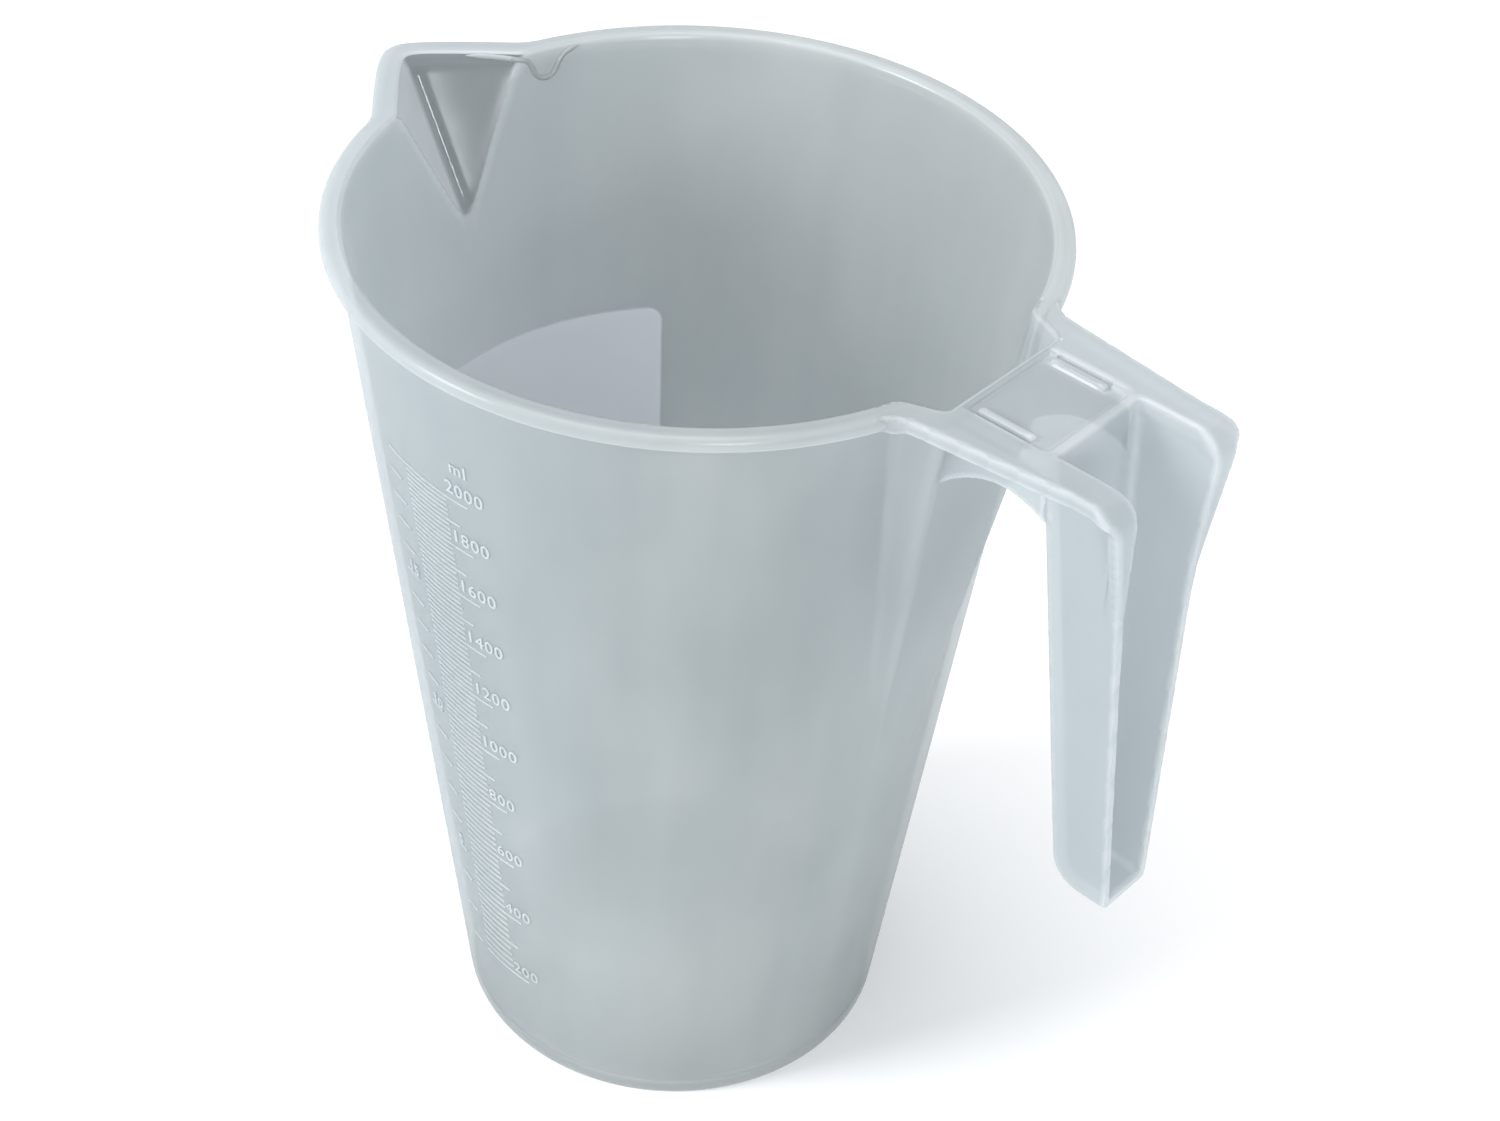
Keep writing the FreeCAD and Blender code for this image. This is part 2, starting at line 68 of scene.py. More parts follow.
GRIP_BOTTOM_Z = 108.6
GRIP_HEIGHT = HEIGHT - GRIP_BOTTOM_Z
KNEE_Z = 188.6               # where the grip's open edge bends and the side flanges start
KNEE_HEIGHT = 30.4           # knee to rim
KNEE_X = 121.8               # open edge of the grip at the knee
TOE_X = 126.4                # and at its bottom
GRIP_HALF = 15.2             # half width of the grip at the rim
GRIP_TAPER = 8.1             # and how much less it is at the bottom
WEB_X = 100.6                # back of the grip at the rim
WEB_LEAN = 11.6              # and how much further out it is at the bottom
ARM_INSIDE, ARM_OUTSIDE = 13.4, 25.0     # edges of an arm's root, from the middle plane
ARM_ROOT_X, ARM_RUN = 74.0, 38.0         # where an arm starts to narrow, and over what length
ARM_TAPER = 4.2
PLATE_Z = 216.8              # middle of the bridge plate
PLATE_HALF = 14.2
SKIRT_Y = 14.3               # middle of the thin skirt under each side of the plate
ARCH_X, ARCH_HALF = 93.3, 13.9           # middle of the arch in the skirts, and half its span
ARCH_TOP_Z = 206.8
ARCH_RISE = 6.1
BAR_X, BAR_HALF = 89.7, 6.7              # middle of the low bars on the plate, and half a bar
BAR_Y, SLIT_Y = 11.3, 12.95
NET_STEP = 0.72              # cell size of the handle's mesh

LABEL_START, LABEL_END = 139.0, 210.0    # degrees
LABEL_TOP = 147.0
LABEL_HEIGHT = 60.0
LABEL_CORNER = 3.0
LABEL_THICK = 0.15
LABEL_LIFT = 1.0             # its shape on the inner face is this much higher, and taller

FULL_ML = 2000
SCALE_LEFT = -102.0          # ends of the scale's lines, in degrees
SCALE_RIGHT = {20: -91.2, 100: -88.6, 200: -86.2}
TOP_LINE_LEFT = -107.6       # the full line reaches further
NUMERALS_LEFT = -90.9
UNIT_LEFT, UNIT_Z = -89.4, 191.2
SIDE_LEFT, SIDE_RIGHT = -109.0, -104.6
SIDE_NUMERALS_LEFT = -108.0


# ---------------------------------------------------------------- smooth joins
def smooth_max(a, b, reach):
    """The larger value, rounded over where the two are less than the reach apart."""
    step = np.maximum(reach - np.abs(a - b), 0.0) / reach
    return np.maximum(a, b) + step * step * reach / 4.0


def smooth_min(a, b, reach):
    return -smooth_max(-a, -b, reach)


# ---------------------------------------------------------------- plan outlines of the wall
def cone_radius(z):
    return BASE_RADIUS + SLOPE * z


def vee_radius(theta, tip, rounding):
    """Distance from the axis to a V with a rounded corner that points along -X."""
    spread = SPOUT_SPREAD
    along = -np.cos(theta)
    across = np.sin(theta)
    soft = rounding / spread
    tip = tip - (math.hypot(1.0, spread) / spread - 1.0) * rounding + soft / spread
    a = across ** 2 - (spread * along) ** 2
    b = 2.0 * spread ** 2 * tip * along
    c = soft ** 2 - (spread * tip) ** 2
    root = np.sqrt(np.maximum(b * b - 4.0 * a * c, 0.0))
    radius = 2.0 * c / np.minimum(-b - root, -1e-6)
    return np.where(along > 0.5, radius, 0.0)


def spout_radius(theta, z, push, rounding):
    """The spout's V, which moves outward with height; below its foot it drops into the wall."""
    share = np.maximum((z - SPOUT_FOOT_Z) / (HEIGHT - SPOUT_FOOT_Z), -0.4)
    start = cone_radius(SPOUT_FOOT_Z) - LEVEL_WALL
    radius = vee_radius(theta, start + (SPOUT_TIP - start) * share + push, rounding)
    return radius - 0.8 * np.maximum(SPOUT_FOOT_Z - 12.0 - z, 0.0)


def bay_radius(theta, z, offset):
    """Distance from the axis to the flat-backed bay that bulges under the handle."""
    share = np.maximum((z - BAY_FOOT_Z) / (HEIGHT - BAY_FOOT_Z), 0.0)
    root_x, root_half, back_x, half = [a + (b - a) * share for a, b in zip(BAY_FOOT, BAY_TOP)]
    normal_x = root_half - half
    normal_y = back_x - root_x
    length = np.hypot(normal_x, normal_y)
    side = (normal_x * back_x + normal_y * half) / length + offset
    cosine = np.maximum(np.cos(theta), 0.3)
    facing = (normal_x * cosine + normal_y * np.abs(np.sin(theta))) / length
    radius = smooth_min(side / facing, (back_x + offset) / cosine, 3.0)
    radius = radius - 0.4 * np.maximum(BAY_FOOT_Z - z, 0.0)
    return np.where(np.cos(theta) > 0.7, radius, 0.0)


def inner_radius(theta, z):
    radius = smooth_max(cone_radius(z) - LEVEL_WALL, spout_radius(theta, z, 0.0, 2.5), 0.8)
    return smooth_max(radius, bay_radius(theta, z, 0.0), 1.8)


def outer_radius(theta, z):
    radius = smooth_max(cone_radius(z), spout_radius(theta, z, SPOUT_PUSH, 4.5), 1.2)
    return smooth_max(radius, bay_radius(theta, z, WALL), 1.8)


def bead_radius(theta):
    """Outline of the rolled rim, seen from above."""
    around_spout = vee_radius(theta, SPOUT_TIP + SPOUT_PUSH + 4.05, 5.0)
    radius = smooth_max(RIM_RADIUS + 0.0 * theta, around_spout, 1.6)
    return np.maximum(radius, outer_radius(theta, HEIGHT))


# ---------------------------------------------------------------- mesh helpers
def make_object(name, vertices, faces, material):
    mesh = bpy.data.meshes.new(name)
    mesh.from_pydata([tuple(v) for v in np.asarray(vertices) * MM], [], [tuple(f) for f in faces])
    mesh.update()
    mesh.materials.append(material)
    thing = bpy.data.objects.new(name, mesh)
    bpy.context.scene.collection.objects.link(thing)
    return thing


def shade(thing, degrees):
    """Smooth shading, with a hard edge where faces meet at more than the angle."""
    mesh = thing.data
    mesh.polygons.foreach_set("use_smooth", [True] * len(mesh.polygons))
    mesh.set_sharp_from_angle(angle=math.radians(degrees))


def apply_modifiers(thing):
    graph = bpy.context.evaluated_depsgraph_get()
    mesh = bpy.data.meshes.new_from_object(thing.evaluated_get(graph))
    old = thing.data
    thing.modifiers.clear()
    thing.data = mesh
    bpy.data.meshes.remove(old)


# ---------------------------------------------------------------- the wall, rolled over its rim
def wall_angles():
    """Columns around the jug, closer together at the spout and at the bay."""
    places = list(np.arange(0.0, 360.0, 1.5))
    places += list(np.arange(152.0, 208.0, 0.45))
    places += list(np.arange(-24.0, 24.0, 0.6) % 360.0)
    places = np.array(sorted(set(np.round(places, 2))))
    keep = np.append(True, np.diff(places) > 0.2)
    return np.radians(places[keep])


def wall_rows(theta):
    """The jug's section from the centre of its underside, over the rim, to the floor's centre."""
    flat = np.ones_like(theta)
    rows = [(r * flat, z * flat) for r, z in (
        (1.6, 1.95), (2.2, 1.85), (2.7, 1.5), (12.0, 1.5), (26.0, 1.5), (40.0, 1.5), (45.2, 1.5),
        (46.0, 1.4), (46.5, 1.0), (46.8, 0.4), (47.4, 0.05), (48.2, 0.0), (49.4, 0.0),
        (50.2, 0.12), (50.7, 0.45), (50.98, 0.95))]

    levels = [1.6, 3.2, 5.1, 5.35, 5.6, 5.9, 8.0]
    levels += list(np.arange(13.0, 185.0, 5.2)) + list(np.arange(187.0, 213.9, 2.4)) + [214.3]
    for z in levels:
        groove = 0.14 if 5.2 < z < 5.7 else 0.0
        rows.append((outer_radius(theta, z * flat) - groove, z * flat))

    under = outer_radius(theta, BEAD_Z * flat)
    bead = bead_radius(theta)
    full = np.clip((bead - outer_radius(theta, HEIGHT * flat)) / 2.6, 0.0, 1.0)
    for out, z in ((0.06, 214.95), (0.3, 215.32), (0.85, 215.5)):
        rows.append((under + out * full, z * flat))
    for back, z in ((1.3, 215.5), (0.65, 215.66), (0.18, 216.1), (0.0, 216.7), (0.0, 217.5)):
        rows.append((np.maximum(bead - back * full, under + 0.06 * full), z * flat))
    inside = inner_radius(theta, HEIGHT * flat)
    middle = (bead + inside) / 2.0
    for back, z in ((0.1, 218.0), (0.35, 218.45), (0.8, 218.8), (1.45, 218.98)):
        rows.append((np.maximum(bead - back, middle + 0.1), z * flat))
    rows.append((middle, HEIGHT * flat))
    for back, z in ((1.25, 218.98), (0.65, 218.82), (0.25, 218.5), (0.05, 218.0)):
        rows.append((np.minimum(inside + back, middle - 0.1), z * flat))

    for z in [216.8] + [level for level in reversed(levels) if level > 7.0]:
        rows.append((inner_radius(theta, z * flat), z * flat))
    corner = cone_radius(FLOOR_TOP) - LEVEL_WALL
    rows += [(r * flat, z * flat) for r, z in (
        (corner + 0.15, 6.2), (corner - 0.3, 5.1), (corner - 1.2, 4.35), (corner - 2.6, 4.03),
        (corner - 5.0, FLOOR_TOP), (34.0, FLOOR_TOP), (22.0, FLOOR_TOP), (10.0, FLOOR_TOP),
        (3.2, FLOOR_TOP))]
    return rows


def make_wall(material):
    theta = wall_angles()
    rows = wall_rows(theta)
    columns = len(theta)
    radius = np.array([r for r, z in rows])
    level = np.array([z for r, z in rows])
    points = np.stack([radius * np.cos(theta), radius * np.sin(theta), level], axis=-1)
    vertices = [(0.0, 0.0, 1.95)] + [tuple(p) for p in points.reshape(-1, 3)]
    vertices.append((0.0, 0.0, FLOOR_TOP))
    last = len(vertices) - 1
    faces = []
    for j in range(columns):
        k = (j + 1) % columns
        faces.append((0, 1 + k, 1 + j))
        for i in range(len(rows) - 1):
            low = 1 + i * columns
            high = low + columns
            faces.append((low + j, low + k, high + k, high + j))
        top = 1 + (len(rows) - 1) * columns
        faces.append((top + j, top + k, last))
    return make_object("jug_moulding", vertices, faces, material)


# ---------------------------------------------------------------- the handle, as one solid
def grip_share(z):
    """0 at the rim, 1 at the bottom of the grip."""
    return (HEIGHT - z) / GRIP_HEIGHT


def handle_field(x, y, z):
    """Signed distance to the handle's surface, negative in the plastic.

    The last value of each smooth join is how far it rounds the corner.
    """
    side = np.abs(y)
    above_knee = (z - KNEE_Z) / KNEE_HEIGHT
    half = GRIP_HALF - GRIP_TAPER * grip_share(z)
    web = WEB_X + WEB_LEAN * grip_share(z)
    below_knee = (z - GRIP_BOTTOM_Z) / 80.0
    edge = np.where(z > KNEE_Z, KNEE_X + 0.8 * above_knee, TOE_X - 4.6 * below_knee)
    end = smooth_max(x - edge, z - HEIGHT + 0.05, 8.0)

    # the grip is a channel that is open away from the jug
    flank = smooth_max((side - half) * 0.997, x - edge, 0.9)
    heel = smooth_max((web - x) * 0.994, GRIP_BOTTOM_Z - z, 7.5)
    block = smooth_max(smooth_max(flank, heel, 1.6), z - HEIGHT + 0.05, 0.9)
    hollow = smooth_max((web + 2.0 - x) * 0.994, GRIP_BOTTOM_Z + 2.2 - z, 5.0)
    hollow = smooth_max(hollow, (side - half + 1.8) * 0.997, 1.6)
    grip = smooth_max(block, -hollow, 0.8)

    # two flat arms at the height of the rim
    outline = np.maximum(ARM_OUTSIDE - ARM_TAPER * (x - ARM_ROOT_X) / ARM_RUN,
                         ARM_OUTSIDE - ARM_TAPER)
    arm = smooth_max(smooth_max(side - outline, ARM_INSIDE - side, 0.9), BEAD_Z + 0.05 - z, 0.9)
    arm = smooth_max(arm, 66.0 - x, 0.9)

    # flanges that widen the top of the grip's edges until they meet the arms
    spread = half + 5.6 * above_knee
    flange = smooth_max((side - spread) * 0.98, half - 1.2 - side, 0.9)
    flange = smooth_max(flange, edge - 3.3 - x, 1.6)
    arm = smooth_min(arm, flange, 3.0)

    # the bridge: a plate, with an arched skirt under each side
    plate = np.maximum(side - PLATE_HALF, x - web - 1.0)
    plate = smooth_max(np.abs(z - PLATE_Z) - 1.0, plate, 0.5)
    plate = np.maximum(plate, 70.0 - x)
    arch = ARCH_TOP_Z - ARCH_RISE * ((x - ARCH_X) / ARCH_HALF) ** 2
    skirt = smooth_max((arch - z) * 0.93, np.abs(side - SKIRT_Y) - 0.9, 0.7)
    skirt = np.maximum(np.maximum(skirt, z - 217.5), np.maximum(x - web - 1.0, 74.0 - x))

    # a low bar and a slit along each side of the plate
    run = np.abs(x - BAR_X) - BAR_HALF
    rib = smooth_max(smooth_max(np.abs(side - BAR_Y) - 1.15, run, 1.2), z - 218.85, 0.9)
    rib = np.maximum(rib, 216.0 - z)
    slit = np.maximum(np.maximum(np.abs(side - SLIT_Y) - 0.55, run + 0.4), 216.3 - z)

    # a stretch of the rim bead, so that the arms blend into it
    radius = np.hypot(x, y)
    theta = np.arctan2(y, x)
    rim = smooth_max(radius - RIM_RADIUS + 0.35, np.abs(z - 217.25) - 1.6, 0.7)
    rim = np.maximum(rim, 74.6 - radius)
    rim = np.maximum(rim, np.abs(theta) * 76.0 - 29.5)

    whole = smooth_max(smooth_min(grip, arm, 1.6), end, 0.9)
    whole = smooth_min(whole, smooth_min(plate, skirt, 1.6), 1.0)
    whole = smooth_min(whole, rim, 3.5)
    whole = smooth_min(whole, rib, 0.6)
    whole = smooth_max(whole, -slit, 0.4)
    whole = smooth_max(whole, z - HEIGHT + 0.04, 0.3)
    return np.maximum(whole, inner_radius(theta, z) + 0.8 - radius)


def surface_net(field, low, step, shape):
    """Closed quad mesh on the zero surface of a distance field."""
    axes = [low[i] + step * np.arange(shape[i]) for i in range(3)]
    value = field(*np.meshgrid(*axes, indexing="ij"))
    inside = value < 0.0
    cells = tuple(n - 1 for n in shape)
    total = np.zeros(cells + (3,))
    count = np.zeros(cells)
    corners = [(a, b, c) for a in (0, 1) for b in (0, 1) for c in (0, 1)]

    def part(array, corner):
        return array[tuple(slice(o, o + n) for o, n in zip(corner, cells))]

    for corner in corners:
        for axis in range(3):
            if corner[axis]:
                continue
            other = tuple(1 if i == axis else o for i, o in enumerate(corner))
            a, b = part(value, corner), part(value, other)
            crossed = part(inside, corner) != part(inside, other)
            share = np.where(crossed, a / np.where(crossed, a - b, 1.0), 0.0)
            for i in range(3):
                total[..., i] += np.where(crossed, share if i == axis else corner[i], 0.0)
            count += crossed
    used = count > 0
    number = np.full(cells, -1)
    number[used] = np.arange(used.sum())
    place = np.stack(np.nonzero(used), axis=-1) + total[used] / count[used][:, None]
    points = np.array(low) + step * place

    faces = []
    for axis in range(3):
        u, v = (axis + 1) % 3, (axis + 2) % 3
        first = [slice(1, -1)] * 3
        first[axis] = slice(0, -1)
        second = list(first)
        second[axis] = slice(1, None)
        here, there = inside[tuple(first)], inside[tuple(second)]
        for flip in (False, True):
            hit = (here & ~there) if not flip else (~here & there)
            index = np.stack(np.nonzero(hit), axis=-1)
            for i in (u, v):
                index[:, i] += 1
            ring = []
            for du, dv in ((1, 1), (0, 1), (0, 0), (1, 0)):
                cell = index.copy()
                cell[:, u] -= du
                cell[:, v] -= dv
                ring.append(number[tuple(cell.T)])
            quad = np.stack(ring, axis=-1)
            faces.append(quad[:, ::-1] if flip else quad)
    return points, np.concatenate(faces)


def settle(points, field, rounds=3):
    """Moves points onto the zero surface along its slope."""
    for _ in range(rounds):
        value = field(*points.T)
        slope = np.zeros_like(points)
        for axis in range(3):
            shift = np.zeros(3)
            shift[axis] = 0.02
            slope[:, axis] = (field(*(points + shift).T) - field(*(points - shift).T)) / 0.04
        size = np.maximum((slope ** 2).sum(axis=1), 0.25)
        points = points - np.clip(value / size, -0.3, 0.3)[:, None] * slope
    return points


def make_handle(material):
    low = (62.0, -32.13, 105.9)
    shape = tuple(int(span / NET_STEP) + 1 for span in (67.0, 64.3, 115.5))
    points, faces = surface_net(handle_field, low, NET_STEP, shape)
    points = settle(points, handle_field)
    return make_object("handle_solid", points, faces, material)


def line_spout(wall, material):
    """Puts the material with the spout's painted shade, painted light and glossy valley on the inner
    faces around the spout.
    """
    mesh = wall.data
    mesh.materials.append(material)
    for face in mesh.polygons:
        x, y, z = face.center / MM
        inward = face.normal.x * x + face.normal.y * y < 0.0
        if x < -60.0 and 176.0 < z < 218.3 and inward:
            face.material_index = 1


def make_moulding(material, painted_spout_plastic):
    """The wall and the handle, joined into one closed mesh."""
    wall = make_wall(material)
    handle = make_handle(material)
    join = wall.modifiers.new("handle", "BOOLEAN")
    join.operation = "UNION"
    join.solver = "EXACT"
    join.object = handle
    apply_modifiers(wall)
    bpy.data.objects.remove(handle, do_unlink=True)
    shade(wall, 38.0)
    line_spout(wall, painted_spout_plastic)
    return wall


# ---------------------------------------------------------------- raised marks on the wall
def filled_ml(z):
    """Volume of liquid in the jug up to a height."""
    low = cone_radius(FLOOR_TOP) - LEVEL_WALL
    high = cone_radius(z) - LEVEL_WALL
    return math.pi / 3.0 * (z - FLOOR_TOP) * (low * low + low * high + high * high) / 1000.0


def level_of(millilitres):
    """Height of the surface for a volume, by halving."""
    low, high = FLOOR_TOP, HEIGHT
    for _ in range(40):
        middle = (low + high) / 2.0
        if filled_ml(middle) < millilitres:
            low = middle
        else:
            high = middle
    return low


def add_bar(vertices, faces, start_deg, end_deg, z, width=0.45, relief=0.28):
    """Low rounded bar along the wall, between two angles."""
    section = ((-0.5, -0.12), (-0.42, 0.6), (-0.2, 1.0), (0.2, 1.0), (0.42, 0.6), (0.5, -0.12))
    count = max(3, int(abs(end_deg - start_deg) / 1.2) + 2)
    first = len(vertices)
    for angle in np.radians(np.linspace(start_deg, end_deg, count)):
        for across, out in section:
            level = z + across * width
            radius = cone_radius(level) + out * relief
            vertices.append((radius * math.cos(angle), radius * math.sin(angle), level))
    size = len(section)
    for i in range(count - 1):
        for j in range(size):
            k = (j + 1) % size
            a = first + i * size
            faces.append((a + j, a + size + j, a + size + k, a + k))
    faces.append(tuple(first + j for j in range(size)))
    faces.append(tuple(first + (count - 1) * size + j for j in reversed(range(size))))


def add_text(vertices, faces, text, height, left_deg, z, relief=0.26):
    """Raised figures on the wall, with their left end at an angle and their foot at a height."""
    curve = bpy.data.curves.new("figures", "FONT")
    curve.body = text
    curve.size = height / 0.72
    curve.extrude = relief / 2.0 + 0.05
    curve.bevel_depth = 0.04
    curve.space_character = 1.12
    curve.resolution_u = 4
    holder = bpy.data.objects.new("figures", curve)
    bpy.context.scene.collection.objects.link(holder)
    bpy.context.view_layer.update()
    mesh = holder.to_mesh()
    first = len(vertices)
    for vertex in mesh.vertices:
        across, up, out = vertex.co
        level = z + up
        angle = math.radians(left_deg) + across / cone_radius(level)
        radius = cone_radius(level) + out + relief / 2.0 - 0.05
        vertices.append((radius * math.cos(angle), radius * math.sin(angle), level))
    faces.extend(tuple(first + i for i in face.vertices) for face in mesh.polygons)
    holder.to_mesh_clear()
    bpy.data.objects.remove(holder, do_unlink=True)
    bpy.data.curves.remove(curve)


def make_marks(name, material, build):
    """One object from a function that adds its vertices and faces to two lists."""
    vertices, faces = [], []
    build(vertices, faces)
    thing = make_object(name, vertices, faces, material)
    shade(thing, 50.0)
    return thing


def main_scale(vertices, faces):
    for millilitres in range(200, FULL_ML + 1, 20):
        step = max(size for size in SCALE_RIGHT if millilitres % size == 0)
        left = TOP_LINE_LEFT if millilitres == FULL_ML else SCALE_LEFT
        add_bar(vertices, faces, left, SCALE_RIGHT[step], level_of(millilitres))


def main_figures(vertices, faces):
    for millilitres in range(200, FULL_ML + 1, 200):
        foot = level_of(millilitres) + 1.9
        add_text(vertices, faces, str(millilitres), 3.4, NUMERALS_LEFT, foot)
    add_text(vertices, faces, "ml", 3.3, UNIT_LEFT, UNIT_Z)


def side_scale(vertices, faces):
    for millilitres in range(200, FULL_ML, 100):
        z = level_of(millilitres)
        add_bar(vertices, faces, SIDE_LEFT, SIDE_RIGHT, z)
        if millilitres % 500 == 0:
            text = str(millilitres // 100)
            add_text(vertices, faces, text, 3.0, SIDE_NUMERALS_LEFT, z + 1.0)


# ---------------------------------------------------------------- tab inside the rim
def make_tab(material):
    """U-shaped ridge under the rim beside the spout, with one leg that flares into the rim."""
    path = [(173.0, 218.3), (169.5, 218.1), (166.4, 217.6), (164.6, 216.9), (163.7, 215.4),
            (163.1, 213.6), (162.2, 212.3), (160.9, 211.9), (159.7, 212.4), (158.9, 213.8),
            (158.1, 215.6), (156.7, 217.1), (154.4, 218.1)]
    fine = []
    for i in range(len(path) - 1):
        before = np.array(path[max(i - 1, 0)])
        a, b = np.array(path[i]), np.array(path[i + 1])
        after = np.array(path[min(i + 2, len(path) - 1)])
        for t in np.arange(0.0, 1.0, 0.125):
            fine.append(0.5 * (2 * a + (b - before) * t + (2 * before - 5 * a + 4 * b - after) * t * t
                               + (3 * a - before - 3 * b + after) * t ** 3))
    fine = np.array(fine + [np.array(path[-1])])
    theta = np.radians(fine[:, 0])
    radius = inner_radius(theta, fine[:, 1]) + 0.1
    centre = np.stack([radius * np.cos(theta), radius * np.sin(theta), fine[:, 1]], axis=-1)
    along = np.gradient(centre, axis=0)
    along /= np.linalg.norm(along, axis=1)[:, None]
    inward = np.stack([-np.cos(theta), -np.sin(theta), 0 * theta], axis=-1)
    across = np.cross(along, inward)
    across /= np.linalg.norm(across, axis=1)[:, None]
    vertices, faces = [], []
    size = 10
    for i in range(len(centre)):
        fade = min(1.0, (i + 1) / 6.0, (len(centre) - i) / 6.0)
        for j in range(size):
            turn = 2.0 * math.pi * j / size
            vertices.append(centre[i] + fade * (0.62 * math.cos(turn) * across[i]
                                                + 0.5 * math.sin(turn) * inward[i]))
    for i in range(len(centre) - 1):
        for j in range(size):
            k = (j + 1) % size
            a = i * size
            faces.append((a + j, a + k, a + size + k, a + size + j))
    faces.append(tuple(reversed(range(size))))
    faces.append(tuple((len(centre) - 1) * size + j for j in range(size)))
    thing = make_object("rim_tab", vertices, faces, material)
    shade(thing, 60.0)
    return thing


# ---------------------------------------------------------------- label
def make_label(material):
    """Thin blank label with rounded corners, laid round the outside of the wall."""
    mean = cone_radius(LABEL_TOP - LABEL_HEIGHT / 2.0)
    width = math.radians(LABEL_END - LABEL_START) * mean
    ends = LABEL_CORNER * (1.0 - np.cos(np.linspace(0.0, math.pi / 2.0, 9)))
    between = np.arange(LABEL_CORNER + 1.5, width - LABEL_CORNER - 0.8, 1.5)
    across = np.concatenate([ends, between, width - ends[::-1]])
    levels = 26
    vertices, faces = [], []
    for layer in (0.01, LABEL_THICK):
        for u in across:
            over = max(LABEL_CORNER - u, u - (width - LABEL_CORNER), 0.0)
            cut = LABEL_CORNER - math.sqrt(max(LABEL_CORNER ** 2 - over ** 2, 0.0))
            angle = math.radians(LABEL_START) + u / mean
            for v in np.linspace(cut, LABEL_HEIGHT - cut, levels):
                z = LABEL_TOP - LABEL_HEIGHT + v
                radius = cone_radius(z) + layer
                vertices.append((radius * math.cos(angle), radius * math.sin(angle), z))
    columns = len(across)
    back = columns * levels
    for i in range(columns - 1):
        for j in range(levels - 1):
            a = i * levels + j
            faces.append((a + levels, a, a + 1, a + levels + 1))
            faces.append((back + a, back + a + levels, back + a + levels + 1, back + a + 1))
    edge = [i * levels for i in range(columns)]
    edge += [(columns - 1) * levels + j for j in range(1, levels)]
    edge += [i * levels + levels - 1 for i in range(columns - 2, -1, -1)]
    edge += [j for j in range(levels - 2, 0, -1)]
    for a, b in zip(edge, edge[1:] + edge[:1]):
        faces.append((a, b, back + b, back + a))
    thing = make_object("blank_label", vertices, faces, material)
    shade(thing, 60.0)
    return thing


# ---------------------------------------------------------------- materials
class Nodes:
    """Short way to write a material's node tree."""

    def __init__(self, name):
        self.material = bpy.data.materials.new(name)
        self.material.use_nodes = True
        self.tree = self.material.node_tree
        self.tree.nodes.clear()

    def add(self, kind, settings=None, **inputs):
        node = self.tree.nodes.new(kind)
        for key, value in (settings or {}).items():
            setattr(node, key, value)
        for key, value in inputs.items():
            socket = node.inputs[int(key[1:]) if key[0] == "_" and key[1:].isdigit()
                                 else key.replace("_", " ")]
            if isinstance(value, bpy.types.NodeSocket):
                self.tree.links.new(value, socket)
            else:
                socket.default_value = value
        return node

    def math(self, operation, a, b=0.0):
        return self.add("ShaderNodeMath", {"operation": operation}, _0=a, _1=b).outputs["Value"]

    def ramp(self, factor, stops):
        node = self.add("ShaderNodeValToRGB", Fac=factor)
        while len(node.color_ramp.elements) < len(stops):
            node.color_ramp.elements.new(0.5)
        for element, (place, colour) in zip(node.color_ramp.elements, stops):
            element.position = place
            element.color = (*colour, 1.0)
        return node.outputs["Color"]

    def scale(self, factor, low, high):
        return self.add("ShaderNodeMapRange", Value=factor, To_Min=low,
                        To_Max=high).outputs["Result"]

    def band(self, value, start, end, most):
        """0 at the start, rising to the most at the end."""
        return self.add("ShaderNodeMapRange", Value=value, From_Min=start, From_Max=end,
                        To_Max=most).outputs["Result"]

    def mix(self, factor, colour, other):
        node = self.add("ShaderNodeMixRGB", Fac=factor, Color1=colour)
        node.inputs["Color2"].default_value = (*other, 1.0)
        return node.outputs["Color"]

    def coordinates(self, stretch):
        place = self.add("ShaderNodeTexCoord").outputs["Object"]
        return self.add("ShaderNodeMapping", Vector=place, Scale=stretch).outputs["Vector"]

    def noise(self, stretch, scale, detail=3.0, rough=0.5):
        return self.add("ShaderNodeTexNoise", Vector=self.coordinates(stretch), Scale=scale,
                        Detail=detail, Roughness=rough).outputs["Fac"]


def beyond_wall(n):
    """How far a point stands outside the inner face of the round wall, in metres."""
    place = n.add("ShaderNodeTexCoord").outputs["Object"]
    flat = n.add("ShaderNodeVectorMath", {"operation": "MULTIPLY"}, _0=place,
                 _1=(1.0, 1.0, 0.0)).outputs["Vector"]
    radius = n.add("ShaderNodeVectorMath", {"operation": "LENGTH"}, _0=flat).outputs["Value"]
    height = n.add("ShaderNodeSeparateXYZ", Vector=place).outputs["Z"]
    wall = n.add("ShaderNodeMath", {"operation": "MULTIPLY_ADD"}, _0=height, _1=SLOPE,
                 _2=(BASE_RADIUS - LEVEL_WALL) * MM).outputs["Value"]
    return n.math("SUBTRACT", radius, wall)


def in_spout(n):
    """1 on the inner faces that stand outside the round wall, which are the spout's."""
    return n.add("ShaderNodeMapRange", {"interpolation_type": "SMOOTHSTEP"}, Value=beyond_wall(n),
                 From_Min=0.00025, From_Max=0.0008).outputs["Result"]


